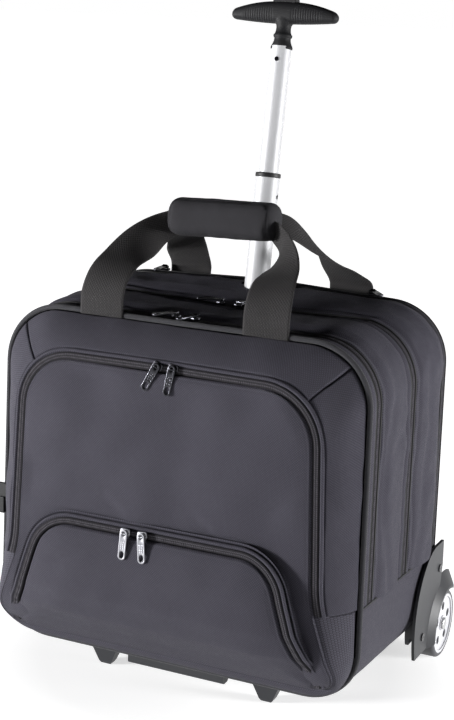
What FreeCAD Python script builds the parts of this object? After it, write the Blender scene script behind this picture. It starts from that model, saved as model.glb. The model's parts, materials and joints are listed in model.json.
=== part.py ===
"""Rolling laptop case: soft shell, front pockets, zips, carry handle, mono-pole trolley, wheels.

Millimetres, +Z up, X across the case, -Y the front. The origin is on the floor, at the middle of
the whole case's footprint. The drawing frame below has y = 0 at the front piping; save() moves it.
"""
import FreeCAD
import Part
import math
import os

V = FreeCAD.Vector
X, Y, Z = V(1, 0, 0), V(0, 1, 0), V(0, 0, 1)

# ---- driving dimensions (y = 0 at the front piping) --------------------------------------------
PIPING_TO_ORIGIN = 114.0      # moves the drawing frame to the middle of the footprint
WALL = 4.0                    # padded fabric wall
SKIN = 1.2                    # webbing, tape and single fabric
GAP = 0.4                     # clearance between soft pieces of different bodies

CASE_LOW = 37.0               # underside of the shell above the floor
FRONT_TOP, REAR_TOP = 411.0, 418.0
FRONT_HALF, REAR_HALF = 212.5, 221.0
SIDE_TAPER = 5.0              # each side leans in by this at the top
LOW_CORNER, HIGH_CORNER = 57.0, 65.0
FRONT_CROWN, MID_CROWN, REAR_CROWN = -1.0, -10.0, 9.0     # rise of the top at its middle: it sags between
DIVIDER_Y = 100.0
REAR_Y = 222.0
PIPING_R = 2.6

SEAM_Z = 140.0                # top of the reinforced base, where the zips end
TAPE_HALF, REAR_TAPE_HALF = 14.0, 8.5
ZIP1_Y, ZIP2_Y, ZIP3_Y = 22.0, 121.0, 213.0

POCKET_FRONT = -36.0          # plane of the big pocket's mouth
COVER_T = 3.6
LOW_POCKET_FRONT = -64.0

WHEEL_Y, WHEEL_R, WHEEL_W = 252.0, 40.0, 24.0
WHEEL_OUT = 228.0             # outer face of the wheel
HUB_R = 35.0
AXLE_R = 4.0

TILT = 8.5                    # lean of the trolley pole, degrees
POLE_FOOT = V(0, 128.3, 48.0)
OUTER_LEN, OUTER_R = 362.0, 15.5
MID_TOP, MID_LEN, MID_R = 505.0, 340.0, 13.75
UPPER_TOP, UPPER_LEN, UPPER_R = 648.0, 318.0, 11.25
TUBE_WALL = 1.4
NECK_R = 9.85                 # inside of the upper tube, where the handle's neck plugs in
NECK_LOW, ARM_LOW = 645.0, 673.0
BEZEL_R = 19.2
ARM_HALF, ARM_DEPTH, ARM_RISE = 64.0, 22.0, 24.0
HOUSING_TOP, BUTTON_TOP = 698.5, 701.0
CAP_H = 12.0                  # height of the release button

GRIP_CENTRE = V(0, 91, 509)
GRIP_HALF, GRIP_R = 64.0, 21.0
STRAP_X, STRAP_W = 98.0, 50.0

FOOT_X, FOOT_Y = 99.0, 38.0

PULL_LEN, PULL_W, PULL_T = 29.0, 8.6, 1.6
BAR_R, BAR_H = 0.9, 3.4       # bail bar, and its height over the slider's plate


# ---- helpers -----------------------------------------------------------------------------------
def save(name, shape):
    """Write one sub-part in the final frame."""
    out = shape.copy()
    out.translate(V(0, -PIPING_TO_ORIGIN, 0))
    if not out.isValid():
        print("INVALID", name)
    out.exportStep("parts/%s.step" % name)
    b = out.optimalBoundingBox()
    print("%-18s %8.0f mm3  x %.1f..%.1f  y %.1f..%.1f  z %.1f..%.1f" % (
        name, out.Volume, b.XMin, b.XMax, b.YMin, b.YMax, b.ZMin, b.ZMax))


def rounded_wire(corners, y):
    """Closed outline in the plane y from (x, z, radius) corners, with tangent arcs."""
    count = len(corners)
    joints = []
    for i, (x, z, radius) in enumerate(corners):
        here = V(x, y, z)
        before = V(corners[i - 1][0], y, corners[i - 1][1]) - here
        after = V(corners[(i + 1) % count][0], y, corners[(i + 1) % count][1]) - here
        before.normalize()
        after.normalize()
        half = before.getAngle(after) / 2
        run = radius / math.tan(half)
        middle = before + after
        middle.normalize()
        deep = radius / math.sin(half) - radius
        joints.append((here + before * run, here + middle * deep, here + after * run))
    edges = []
    for i, (start, middle, end) in enumerate(joints):
        edges.append(Part.Arc(start, middle, end).toShape())
        edges.append(Part.makeLine(end, joints[(i + 1) % count][0]))
    return Part.Wire(edges)


def plate(corners, y0, y1):
    """Flat solid between two planes."""
    return Part.Face(rounded_wire(corners, y0)).extrude(V(0, y1 - y0, 0))


def loft(first, second):
    """Straight-sided solid between two (corners, y) outlines."""
    return Part.makeLoft([rounded_wire(*first), rounded_wire(*second)], True, True)


def mirrored(right):
    """Full outline from its right-hand corners, listed from the bottom up."""
    return right + [(-x, z, r) for x, z, r in reversed(right)]


def shell_corners(half, top, crown, grow=0.0):
    """Rounded case outline, grown outward by grow."""
    low, high = LOW_CORNER + grow, HIGH_CORNER + grow
    right = [(half + grow, CASE_LOW - grow, low), (half - SIDE_TAPER + grow, top + grow, high)]
    outline = mirrored(right)
    outline.insert(2, (0, top + crown + grow, 60.0))
    return outline


def width_at(y):
    """Half width, top and crown of the case at a depth y: it grows evenly towards the back."""
    part = y / REAR_Y
    sagged = y / DIVIDER_Y
    crown = FRONT_CROWN + sagged * (MID_CROWN - FRONT_CROWN)
    if y > DIVIDER_Y:
        risen = (y - DIVIDER_Y) / (REAR_Y - DIVIDER_Y)
        crown = MID_CROWN + risen * (REAR_CROWN - MID_CROWN)
    return FRONT_HALF + part * (REAR_HALF - FRONT_HALF), FRONT_TOP + part * (REAR_TOP - FRONT_TOP), crown


def case_block(y0, y1, grow=0.0):
    """Solid slice of the case between two depths, grown by grow."""
    ends = [(shell_corners(*width_at(y), grow=grow), y) for y in (y0, y1)]
    return loft(*ends)


def case_ring(y0, y1, inner, outer):
    """Slice of the case's skin between two offsets."""
    return case_block(y0, y1, outer).cut(case_block(y0 - 1, y1 + 1, inner))


def box(x0, x1, y0, y1, z0, z1):
    return Part.makeBox(x1 - x0, y1 - y0, z1 - z0, V(x0, y0, z0))


def rod(start, direction, radius, length):
    return Part.makeCylinder(radius, length, start, direction)


def above(z):
    return box(-400, 400, -200, 400, z, 900)


def mirror_x(shape):
    return shape.mirror(V(0, 0, 0), X)


def soften(shape, radius, edges=None):
    """Round a piece's edges, or leave it sharp where the rounding fails."""
    try:
        out = shape.makeFillet(radius, edges or shape.Edges)
        return out if out.isValid() and out.Volume > 0 else shape
    except Part.OCCError:
        return shape


def on_pole(shape):
    """Move a piece drawn along +Z from the pole's foot onto the leaning pole."""
    out = shape.copy()
    out.rotate(V(0, 0, 0), X, -TILT)
    out.translate(POLE_FOOT)
    return out


# ---- soft case ---------------------------------------------------------------------------------
BIG_OUTER = [(200, 50, 30), (182, 150, 120), (171.5, 374, 62)]
BIG_INNER = [(194, 56, 30), (172.5, 150, 120), (161, 364, 55)]
LOW_OUTER = [(180, 62, 18), (158, 125, 80), (146, 200, 52)]
LOW_INNER = [(170, 62, 12), (148.5, 125, 80), (136.5, 190.2, 42)]


def wheel_wells():
    """Room for both wheels and their housings."""
    well = rod(V(188, WHEEL_Y, WHEEL_R), X, 48, 60)
    return well.fuse(mirror_x(well))


def pole_hole(extra):
    """Slanted hole for the outer tube through the top of the case."""
    return on_pole(rod(V(0, 0, 200), Z, OUTER_R + extra, 400))


def front_panel():
    half, top, crown = width_at(0)
    return plate(shell_corners(half - PIPING_R, top - PIPING_R, crown), -1.0, WALL)


def front_piping():
    path = rounded_wire(shell_corners(*width_at(0)), 0)
    start = path.Edges[1].Vertexes[0].Point
    along = path.Edges[1].tangentAt(path.Edges[1].FirstParameter)
    ring = Part.Wire(Part.makeCircle(PIPING_R, start, along))
    cord = path.makePipeShell([ring], True, False)
    half, top, crown = width_at(0)
    inside = plate(shell_corners(half - PIPING_R, top - PIPING_R, crown), -5, WALL)
    return cord.cut(inside).cut(compartment_block())


def compartment_block():
    return case_block(WALL + 0.2, DIVIDER_Y)


def compartment_shell():
    return case_ring(WALL + 0.2, DIVIDER_Y, -WALL, 0)


def divider():
    panel = case_block(DIVIDER_Y - 4.0, DIVIDER_Y - 0.2, -WALL - 0.3)
    return panel.cut(box(-152, 152, 0, 200, 0, CASE_LOW + WALL + 4.2))


def rear_shell():
    hollow = case_block(DIVIDER_Y - 1, REAR_Y - WALL, -WALL)
    shell = case_block(DIVIDER_Y + 0.2, REAR_Y).cut(hollow)
    return shell.cut(pole_hole(BEZEL_R + 0.6 - OUTER_R)).cut(wheel_wells())


def zip_band(y, half_width=TAPE_HALF):
    """Zip tape with its coil, over the top and down both sides to the base seam."""
    tape = case_ring(y - half_width, y + half_width, 0.1, SKIN)
    coil = case_ring(y - 2.4, y + 2.4, SKIN - 0.2, SKIN + 1.0)
    return tape.fuse(coil).common(above(SEAM_Z + 0.5)).removeSplitter()


def base_wrap():
    """Reinforcing fabric round the lower sides and the underside."""
    wrap = case_ring(PIPING_R + 0.6, REAR_Y - 1, 0.05, SKIN)
    return wrap.cut(above(SEAM_Z)).cut(wheel_wells())


def base_board():
    board = box(-150, 150, 8, 205, CASE_LOW + WALL + 0.3, CASE_LOW + WALL + 4)
    return board


def pocket_gusset():
    """Sloping wall of the big front pocket, with mitred upper corners."""
    half, top, crown = width_at(0)
    outer_back = shell_corners(half - 4, top - 4, crown)
    outer_front = mirrored(BIG_OUTER)
    outer_front.insert(3, (0, 376, 700.0))
    back = [(x, z, r) for x, z, r in outer_back]
    back.insert(1, (half - 6, 150, 120.0))
    back.insert(5, (-(half - 6), 150, 120.0))
    y_back = -1.2
    solid = loft((back, y_back), (outer_front, POCKET_FRONT))
    inner_back = shift_outline(back, -WALL)
    inner_front = shift_outline(outer_front, -WALL - 8)
    core = loft((inner_back, y_back + 1), (inner_front, POCKET_FRONT - 1))
    return solid.cut(core)


def shift_outline(corners, grow):
    """Grow an outline roughly: move each corner out from the middle of the case."""
    out = []
    for x, z, r in corners:
        side = 0 if x == 0 else grow * x / abs(x)
        up = grow if z > 200 else (-grow if z < 100 else 0)
        out.append((x + side, z + up, max(r + grow, 4)))
    return out


def big_zip_tape():
    band = plate(mirrored(BIG_OUTER), POCKET_FRONT - SKIN, POCKET_FRONT - 0.05)
    band = band.cut(plate(shift_outline(mirrored(BIG_INNER), GAP), POCKET_FRONT - 9, POCKET_FRONT + 9))
    return band.common(above(SEAM_Z + 0.5))


def front_cover():
    """Front face of the big pocket, which folds forward at its lower edge."""
    y0 = POCKET_FRONT - SKIN - GAP
    return plate(mirrored(BIG_INNER), y0 - COVER_T, y0)


def low_pocket_profile(y_back):
    """Side view of the bulging lower pocket, as a wide prism."""
    side = [(y_back, 57), (y_back - 8, 60), (LOW_POCKET_FRONT + 3, 95), (LOW_POCKET_FRONT, 130),
            (LOW_POCKET_FRONT + 6, 180), (LOW_POCKET_FRONT + 12, 201), (y_back, 201)]
    points = [V(-300, y, z) for y, z in side]
    return Part.Face(Part.makePolygon(points + points[:1])).extrude(V(600, 0, 0))


COVER_FACE = POCKET_FRONT - SKIN - GAP - COVER_T


def lower_pocket():
    body = plate(mirrored(LOW_INNER), LOW_POCKET_FRONT - 5, COVER_FACE - 0.1)
    return body.common(low_pocket_profile(COVER_FACE - 0.1))


def low_zip_tape():
    band = plate(mirrored(LOW_OUTER), LOW_POCKET_FRONT + 9, COVER_FACE - 0.1)
    band = band.cut(plate(shift_outline(mirrored(LOW_INNER), 0.1), -90, 0))
    return band.common(low_pocket_profile(COVER_FACE - 0.1)).common(above(75))


# ---- carry handle ------------------------------------------------------------------------------
def strap_section(centre, across, thick, width):
    """Rectangle of webbing at a point of its route."""
    a, t = V(across), V(thick)
    a.normalize()
    t.normalize()
    corners = [centre + a * (i * width / 2) + t * (j * SKIN) for i, j in ((-1, -1), (1, -1), (1, 1), (-1, 1))]
    return Part.makePolygon(corners + corners[:1])


def strap(stations):
    """Webbing through a list of (centre, across, thickness direction) stations."""
    wires = [strap_section(c, a, t, STRAP_W - 4) for c, a, t in stations]
    return Part.makeLoft(wires, True, True)


def front_strap():
    top = FRONT_TOP + 4
    return strap([
        (V(STRAP_X, 4, top + 4.5), X, V(0, 0.6, 1)),
        (V(STRAP_X, 24, top + 22), X, V(0, -1, 0.9)),
        (V(STRAP_X - 8, 52, 470), V(1, 0.1, 0.3), V(-0.3, -1, 0.8)),
        (V(GRIP_HALF + 4, 76, 497), V(1, 0.5, 0.9), V(-0.7, -0.8, 0.5)),
    ])


def rear_strap():
    top = REAR_TOP + REAR_CROWN
    return strap([
        (V(STRAP_X, 219, top + 3.5), X, V(0, -0.6, 1)),
        (V(STRAP_X, 192, top + 24), X, V(0, 1, 0.9)),
        (V(STRAP_X - 8, 146, 474), V(1, -0.1, 0.3), V(-0.3, 1, 0.8)),
        (V(GRIP_HALF + 4, 108, 500), V(1, -0.5, 0.9), V(-0.7, 0.8, 0.5)),
    ])


def strap_pair(one):
    return Part.makeCompound([one, mirror_x(one)])


def carry_grip():
    start = V(GRIP_CENTRE) - X * GRIP_HALF
    body = rod(start, X, GRIP_R, 2 * GRIP_HALF)
    return soften(body, 9)


# ---- trolley -----------------------------------------------------------------------------------
def tube(radius, bottom, top, wall=TUBE_WALL):
    outer = rod(V(0, 0, bottom), Z, radius, top - bottom)
    return outer.cut(rod(V(0, 0, bottom - 1), Z, radius - wall, top - bottom + 2))


def side_holes(radius, heights):
    """Drilled holes in the right-hand side of a tube."""
    holes = [rod(V(radius - 4, 0, s), X, 2.5, 8) for s in heights]
    return Part.makeCompound(holes)


def outer_tube():
    return on_pole(tube(OUTER_R, 6, OUTER_LEN))


def tube_socket():
    """Moulded foot that holds the outer tube on the base board."""
    cup = rod(V(0, 0, 0), Z, OUTER_R + 4, 36).cut(rod(V(0, 0, 6), Z, OUTER_R, 40))
    flange = box(-34, 34, -24, 24, -8, 3)
    piece = on_pole(cup.fuse(flange))
    floor = CASE_LOW + WALL + 4.1
    return piece.common(box(-60, 60, 60, 220, floor, 200)).removeSplitter()


def top_bezel():
    """Moulded collar where the pole leaves the case."""
    bezel = soften(rod(V(0, 0, OUTER_LEN - 10), Z, BEZEL_R, 22), 1.2)
    bezel = bezel.cut(rod(V(0, 0, OUTER_LEN - 20), Z, OUTER_R, 20))
    bezel = bezel.cut(rod(V(0, 0, OUTER_LEN - 1), Z, MID_R + 0.08, 40))
    return on_pole(bezel)


def mid_tube():
    body = tube(MID_R, MID_TOP - MID_LEN, MID_TOP - 3)
    return on_pole(body.cut(side_holes(MID_R, (MID_TOP - 24, MID_TOP - 38))))


def mid_collar():
    """Plastic bush at the top of the middle tube, which guides the upper tube."""
    lip = soften(rod(V(0, 0, MID_TOP - 3), Z, MID_R + 0.6, 5), 1.0)
    sleeve = rod(V(0, 0, MID_TOP - 25), Z, MID_R - TUBE_WALL, 23)
    piece = lip.fuse(sleeve).cut(rod(V(0, 0, MID_TOP - 30), Z, UPPER_R + 0.06, 40))
    return on_pole(piece)


def upper_tube():
    body = tube(UPPER_R, UPPER_TOP - UPPER_LEN, UPPER_TOP)
    front_hole = rod(V(0, 0, NECK_LOW - 12), -Y, 2.6, 20)
    low_hole = rod(V(0, 0, UPPER_TOP - UPPER_LEN + 14), X, 2.6, 20)
    return on_pole(body.cut(front_hole).cut(low_hole))


def handle_pin():
    """Snap pin that holds the grip on the upper tube."""
    pin = rod(V(0, -UPPER_R + 4, NECK_LOW - 12), -Y, 2.5, 4.8)
    return on_pole(soften(pin, 0.6))


def handle_solid():
    """Crescent crossbar, its button housing and its neck."""
    low, half = ARM_LOW, ARM_HALF
    right_low, left_low = V(half, 0, low + 4), V(-half, 0, low + 4)
    right_top, left_top = V(half, 0, low + 13), V(-half, 0, low + 13)
    top = Part.Arc(right_top, V(0, 0, low + ARM_RISE), left_top).toShape()
    bottom = Part.Arc(left_low, V(0, 0, low), right_low).toShape()
    edges = [top, Part.makeLine(left_top, left_low), bottom, Part.makeLine(right_low, right_top)]
    bar = Part.Face(Part.Wire(edges)).extrude(V(0, ARM_DEPTH, 0))
    bar.translate(V(0, -ARM_DEPTH / 2, 0))
    bar = soften(bar, 4.2)
    housing = soften(box(-18, 18, -9.5, 9.5, low + 8, HOUSING_TOP), 3)
    profile = [(0, -8), (NECK_R - 0.2, -8), (NECK_R - 0.2, 0), (12.7, 0), (12.9, 2.5), (11.6, 5.5), (9.7, 11),
               (10.5, 13), (10.4, 15), (9.2, 17), (9.1, 24), (11.5, 30), (0, 30)]
    points = [V(r, 0, NECK_LOW + up) for r, up in profile]
    neck = Part.Face(Part.makePolygon(points + points[:1])).revolve(V(0, 0, 0), Z, 360)
    return bar.fuse([housing, neck])


def handle_half(side):
    """One moulded half of the crossbar: side -1 is the front."""
    solid = handle_solid()
    low = ARM_LOW
    well = box(-14.2, 14.2, -6.2, 6.2, low + 7, low + 60)
    channel = rod(V(0, 0, NECK_LOW - 20), Z, 4.0, 60)
    seat = tube(UPPER_R, NECK_LOW - 5, UPPER_TOP)
    solid = solid.cut(well).cut(channel).cut(seat)
    keep = box(-90, 90, 0, 40, NECK_LOW - 10, low + 80)
    if side < 0:
        keep = box(-90, 90, -40, 0, NECK_LOW - 10, low + 80)
    return on_pole(solid.common(keep))


def release_button():
    cap = soften(box(-14, 14, -6, 6, BUTTON_TOP - CAP_H, BUTTON_TOP), 1.6)
    return on_pole(cap)


def push_rod():
    top = BUTTON_TOP - CAP_H
    bottom = UPPER_TOP - UPPER_LEN + 24
    return on_pole(rod(V(0, 0, bottom), Z, 2.0, top - bottom))


def button_spring():
    """Return spring round the push rod, as its swept ring."""
    base = ARM_LOW + 7
    top = BUTTON_TOP - CAP_H - 0.1
    ring = rod(V(0, 0, base), Z, 4.6, top - base)
    return on_pole(ring.cut(rod(V(0, 0, base - 1), Z, 3.4, 60)))


def lock_pin():
    """Pin that locks the upper tube in the middle tube."""
    level = UPPER_TOP - UPPER_LEN + 14
    return on_pole(rod(V(2.5, 0, level), X, 2.5, UPPER_R - 2.8))


# ---- running gear ------------------------------------------------------------------------------
def wheel_centre(offset=0.0):
    return V(WHEEL_OUT - WHEEL_W + offset, WHEEL_Y, WHEEL_R)


def tyre():
    body = soften(rod(wheel_centre(), X, WHEEL_R, WHEEL_W), 4)
    return body.cut(rod(wheel_centre(-1), X, HUB_R, WHEEL_W + 2))


def hub():
    """Dished hub with five oval windows and a boss round the axle."""
    rim = rod(wheel_centre(1), X, HUB_R, WHEEL_W - 1.4).cut(rod(wheel_centre(0), X, HUB_R - 3, WHEEL_W + 2))
    web = rod(wheel_centre(WHEEL_W - 6), X, HUB_R - 2, 4)
    boss = rod(wheel_centre(3), X, 9, WHEEL_W - 4)
    piece = rim.fuse([web, boss])
    for i in range(5):
        turn = math.radians(72 * i + 90)
        centre = wheel_centre(WHEEL_W - 12) + V(0, 21 * math.cos(turn), 21 * math.sin(turn))
        piece = piece.cut(rod(centre, X, 5, 12))
    return piece.cut(rod(wheel_centre(-2), X, AXLE_R + 0.05, WHEEL_W + 4))


def axle():
    shaft = rod(V(193, WHEEL_Y, WHEEL_R), X, AXLE_R, WHEEL_OUT - 193 + 0.2)
    head = soften(rod(V(WHEEL_OUT - 0.6, WHEEL_Y, WHEEL_R), X, 7, 2.2), 0.8)
    return shaft.fuse(head)


def ring_sector(r_in, r_out, x0, x1, start, end):
    """Part of a ring round the wheel's axis; angles in degrees from the rear, upward."""
    ring = rod(V(x0, WHEEL_Y, WHEEL_R), X, r_out, x1 - x0)
    ring = ring.cut(rod(V(x0 - 1, WHEEL_Y, WHEEL_R), X, r_in, x1 - x0 + 2))
    middle = V(x0 - 1, WHEEL_Y, WHEEL_R)
    reach = 120
    points = [middle]
    for i in range(9):
        turn = math.radians(start + (end - start) * i / 8)
        points.append(middle + V(0, reach * math.cos(turn), reach * math.sin(turn)))
    wedge = Part.Face(Part.makePolygon(points + points[:1])).extrude(V(x1 - x0 + 2, 0, 0))
    return ring.common(wedge)


def wheel_housing():
    """Moulded wheel housing: side flange, wheel arch and the cheek that holds the axle."""
    arch = ring_sector(42.5, 45.5, 196, 232, 66, 192)
    cowl = ring_sector(42.5, 70, 222.4, 232, 66, 192).common(cowl_cone())
    cheek = rod(V(196, WHEEL_Y, WHEEL_R), X, 45.5, 4).common(box(190, 240, 190, WHEEL_Y + 16, 22, 120))
    rear_plate = box(170, 224, REAR_Y + 0.3, REAR_Y + 4, 60, 136)
    lobe = rod(V(200, REAR_Y + 0.3, 98), Y, 38, 12).common(box(186, 224, REAR_Y, 260, 84, 141))
    side = side_flange()
    piece = arch.fuse([cowl, cheek, rear_plate, side, lobe])
    piece = piece.cut(rod(V(190, WHEEL_Y, WHEEL_R), X, AXLE_R, 20))
    piece = piece.cut(rod(V(201, WHEEL_Y, WHEEL_R), X, 42.5, 60))
    return piece.removeSplitter()


def cowl_cone():
    """Cone on the wheel's axis that gives the cowl its sloping face."""
    return Part.makeCone(63, 45.5, 232 - 222.4, V(222.4, WHEEL_Y, WHEEL_R), X)


def side_flange():
    """Curved plate lying on the side of the case, ahead of the wheel."""
    lead = [V(222.4, y, z) for y, z in ((153, 30), (147, 62), (152, 100), (171, 130), (206, 147))]
    curve = Part.BSplineCurve()
    curve.interpolate(lead)
    rest = [lead[-1]] + [V(222.4, y, z) for y, z in ((236, 147), (238, 118), (232, 86), (208, 60), (204, 30))]
    wire = Part.Wire([curve.toShape()] + Part.makePolygon(rest + lead[:1]).Edges)
    return Part.Face(wire).extrude(V(3.4, 0, 0))


def housing_screws():
    heads = []
    for y, z in ((226, 116), (176, 50)):
        head = rod(V(225.8, y, z), X, 4.5, 1.4)
        heads.append(head.cut(box(227, 228, y - 3, y + 3, z - 0.5, z + 0.5)))
    heads += [mirror_x(h) for h in heads]
    return Part.makeCompound(heads)


def foot():
    """Wedge foot under the front edge, with a blunt rounded tip."""
    top = [(-22, -11), (22, -11), (22, 12), (-22, 12)]
    tip = [(-8, -5), (8, -5), (8, 7), (-8, 7)]
    z_top = CASE_LOW - SKIN - 0.1
    wires = []
    for ring, z in ((top, z_top), (tip, 3.0), ([(x * 0.75, y * 0.75 + 0.3) for x, y in tip], 0.0)):
        points = [V(FOOT_X + x, FOOT_Y + y, z) for x, y in ring]
        wires.append(Part.makePolygon(points + points[:1]))
    return Part.makeLoft(wires, True, True)


def skid_bar():
    """Moulded lip along the front of the underside, between the feet."""
    bar = box(-58, 58, 10, 24, 19, CASE_LOW - SKIN - 0.1)
    low_edges = [e for e in bar.Edges if e.BoundBox.ZMax < 19.5 and e.BoundBox.XLength > 50]
    return soften(bar, 4, low_edges)


def side_keeper():
    """Small tab with a moulded keeper, in the piping seam on the left."""
    tab = box(-216, -204.6, -10, -6, 186, 206)
    keeper = soften(box(-219, -207, -12, -4.5, 172, 191), 1.2)
    return keeper.fuse(tab)


# ---- zips --------------------------------------------------------------------------------------
# name: left and right slider positions, outward normal, direction in which the pull lies
SLIDERS = {
    "zip1": ((-20.0, 3.0), ZIP1_Y, None, Z, V(-0.62, -1, -0.03), V(-0.3, -1, -0.03)),
    "zip2": ((-14.0, 8.0), ZIP2_Y, None, Z, V(-1, -0.35, 0), V(1, -0.2, 0)),
    "rear": ((-131.0, 129.0), ZIP3_Y, None, Z, V(0.1, -1, 0), V(0.6, -0.8, 0)),
    "big": ((-8.0, 10.0), POCKET_FRONT - SKIN, 371.4, -Y, V(-0.5, -0.1, -1), V(-0.16, -0.1, -1)),
    "low": ((-30.0, -10.0), LOW_POCKET_FRONT + 9, 195.2, -Y, V(-0.04, -0.07, -1), V(0.1, -0.07, -1)),
}


def top_height(x, y):
    """Height of the case's top skin at a point near the middle."""
    section = Part.Face(rounded_wire(shell_corners(*width_at(y)), y))
    cut = section.common(Part.makeLine(V(x, y, 300), V(x, y, 600)))
    return cut.BoundBox.ZMax


def slider_frame(name, index):
    """Origin on the coil, normal, and the pull's direction of one slider."""
    xs, y, z, normal, left_pull, right_pull = SLIDERS[name]
    x = xs[index]
    lie = V(left_pull if index == 0 else right_pull)
    if z is None:
        origin = V(x, y, top_height(x, y) + SKIN + 1.0)
    else:
        origin = V(x, y, z)
    lie.normalize()
    return origin, V(normal), lie


def to_frame(shape, origin, normal, lie):
    """Place a slider piece drawn with its bar along x, its normal +Z and its pull along -Y."""
    flat = lie - normal * lie.dot(normal)
    flat.normalize()
    down = -flat
    bar = down.cross(normal)
    matrix = FreeCAD.Matrix(bar.x, down.x, normal.x, origin.x, bar.y, down.y, normal.y, origin.y,
                            bar.z, down.z, normal.z, origin.z, 0, 0, 0, 1)
    out = shape.copy()
    out.Placement = FreeCAD.Placement(matrix).multiply(shape.Placement)
    return out


def slider():
    """Slider body with its bail; drawn over the coil at z = 0."""
    body = soften(box(-5.5, 5.5, -4.5, 4.5, 0.5, 2.7), 0.9)
    legs = [box(-4.3, -3.0, -1.2, 1.2, 2.4, 2.7 + BAR_H), box(3.0, 4.3, -1.2, 1.2, 2.4, 2.7 + BAR_H)]
    bar = rod(V(-4.3, 0, 2.7 + BAR_H - BAR_R), X, BAR_R, 8.6)
    return body.fuse(legs + [bar])


def pull():
    """Pull tab with a row of dimples, an oval end hole and an eye round the bail's bar."""
    height = 2.7 + BAR_H - BAR_R
    eye = rod(V(-2.6, 0, height), X, BAR_R + 1.3, 5.2)
    tab = box(-PULL_W / 2, PULL_W / 2, -PULL_LEN, -4.5, height - PULL_T / 2, height + PULL_T / 2)
    corners = [e for e in tab.Edges if e.BoundBox.ZLength > 1 and e.BoundBox.YMax < -20]
    tab = soften(tab, 3.8, corners)
    neck = box(-1.6, 1.6, -6, -1.2, height - PULL_T / 2, height + PULL_T / 2)
    piece = tab.fuse([eye, neck]).cut(rod(V(-4, 0, height), X, BAR_R + 0.08, 8))
    hole = rod(V(0, -PULL_LEN + 4.6, height - 3), Z, 2.4, 6)
    hole = hole.fuse(rod(V(0, -PULL_LEN + 6.6, height - 3), Z, 2.4, 6))
    return piece.cut(hole)


def pull_tilt(normal, lie):
    """Angle by which the pull lies below (negative) or above the tape's plane, in degrees."""
    return math.degrees(math.asin(max(-1, min(1, lie.dot(normal)))))


def make_zip(name):
    for index, side in enumerate("lr"):
        origin, normal, lie = slider_frame(name, index)
        body = to_frame(slider(), origin, normal, lie)
        tab = pull()
        height = 2.7 + BAR_H - BAR_R
        tab.rotate(V(0, 0, height), X, -pull_tilt(normal, lie))
        tab = to_frame(tab, origin, normal, lie)
        bar_at = origin + normal * height
        print("HINGE %s_pull_%s at %.3f %.3f %.3f lie %.4f %.4f %.4f" % (
            name, side, bar_at.x, bar_at.y - PIPING_TO_ORIGIN, bar_at.z, lie.x, lie.y, lie.z))
        if name == "rear":
            save("rear_slider_%s" % side, Part.makeCompound([body, tab]))
        else:
            save("%s_slider_%s" % (name, side), body)
            save("%s_pull_%s" % (name, side), tab)


# ---- write every sub-part ----------------------------------------------------------------------
def main():
    os.makedirs("parts", exist_ok=True)
    singles = (front_panel, front_piping, compartment_shell, divider, rear_shell, base_wrap, base_board,
               pocket_gusset, big_zip_tape, front_cover, lower_pocket, low_zip_tape, carry_grip, outer_tube,
               tube_socket, top_bezel, mid_tube, mid_collar, upper_tube, handle_pin, release_button,
               push_rod, button_spring, lock_pin, housing_screws, skid_bar, side_keeper)
    for make in singles:
        save(make.__name__, make())
    save("zip1_tape", zip_band(ZIP1_Y))
    save("zip2_tape", zip_band(ZIP2_Y))
    save("rear_zip_tape", zip_band(ZIP3_Y, REAR_TAPE_HALF))
    save("front_straps", strap_pair(front_strap()))
    save("rear_straps", strap_pair(rear_strap()))
    save("handle_front", handle_half(-1))
    save("handle_back", handle_half(1))
    save("front_feet", Part.makeCompound([foot(), mirror_x(foot())]))
    save("wheel_axles", Part.makeCompound([axle(), mirror_x(axle())]))
    for name, make in (("tyre", tyre), ("hub", hub), ("wheel_housing", wheel_housing)):
        piece = make()
        save(name + "_r", piece)
        save(name + "_l", mirror_x(piece))
    for name in SLIDERS:
        make_zip(name)


main()
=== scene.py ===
"""Rolling laptop case: the look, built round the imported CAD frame.

The helpers work in millimetres in the drawing frame of the case, which has y = 0 at the front piping.
mesh_object() and place() move their points to the row frame, in metres.
"""
import math

import bmesh
import bpy
import numpy as np
from mathutils import Matrix, Vector
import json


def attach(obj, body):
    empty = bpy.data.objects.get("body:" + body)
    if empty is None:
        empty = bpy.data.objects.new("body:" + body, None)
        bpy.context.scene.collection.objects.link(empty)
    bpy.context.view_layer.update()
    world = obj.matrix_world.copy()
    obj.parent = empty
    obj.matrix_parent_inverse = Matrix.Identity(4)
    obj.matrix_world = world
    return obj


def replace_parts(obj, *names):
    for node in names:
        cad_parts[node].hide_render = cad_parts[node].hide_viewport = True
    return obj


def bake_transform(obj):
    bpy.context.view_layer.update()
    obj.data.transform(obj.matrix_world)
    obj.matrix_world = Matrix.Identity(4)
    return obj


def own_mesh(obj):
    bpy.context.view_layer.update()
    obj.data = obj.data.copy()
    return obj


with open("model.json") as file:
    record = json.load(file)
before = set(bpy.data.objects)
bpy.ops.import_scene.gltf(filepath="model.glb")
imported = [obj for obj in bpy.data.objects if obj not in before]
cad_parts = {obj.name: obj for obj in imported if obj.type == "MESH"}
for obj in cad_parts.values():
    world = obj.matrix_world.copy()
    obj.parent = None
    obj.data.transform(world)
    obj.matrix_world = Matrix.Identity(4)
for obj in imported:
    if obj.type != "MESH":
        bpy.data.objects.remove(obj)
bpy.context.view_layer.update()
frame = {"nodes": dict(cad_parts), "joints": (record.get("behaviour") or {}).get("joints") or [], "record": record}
scene = bpy.context.scene

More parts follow.
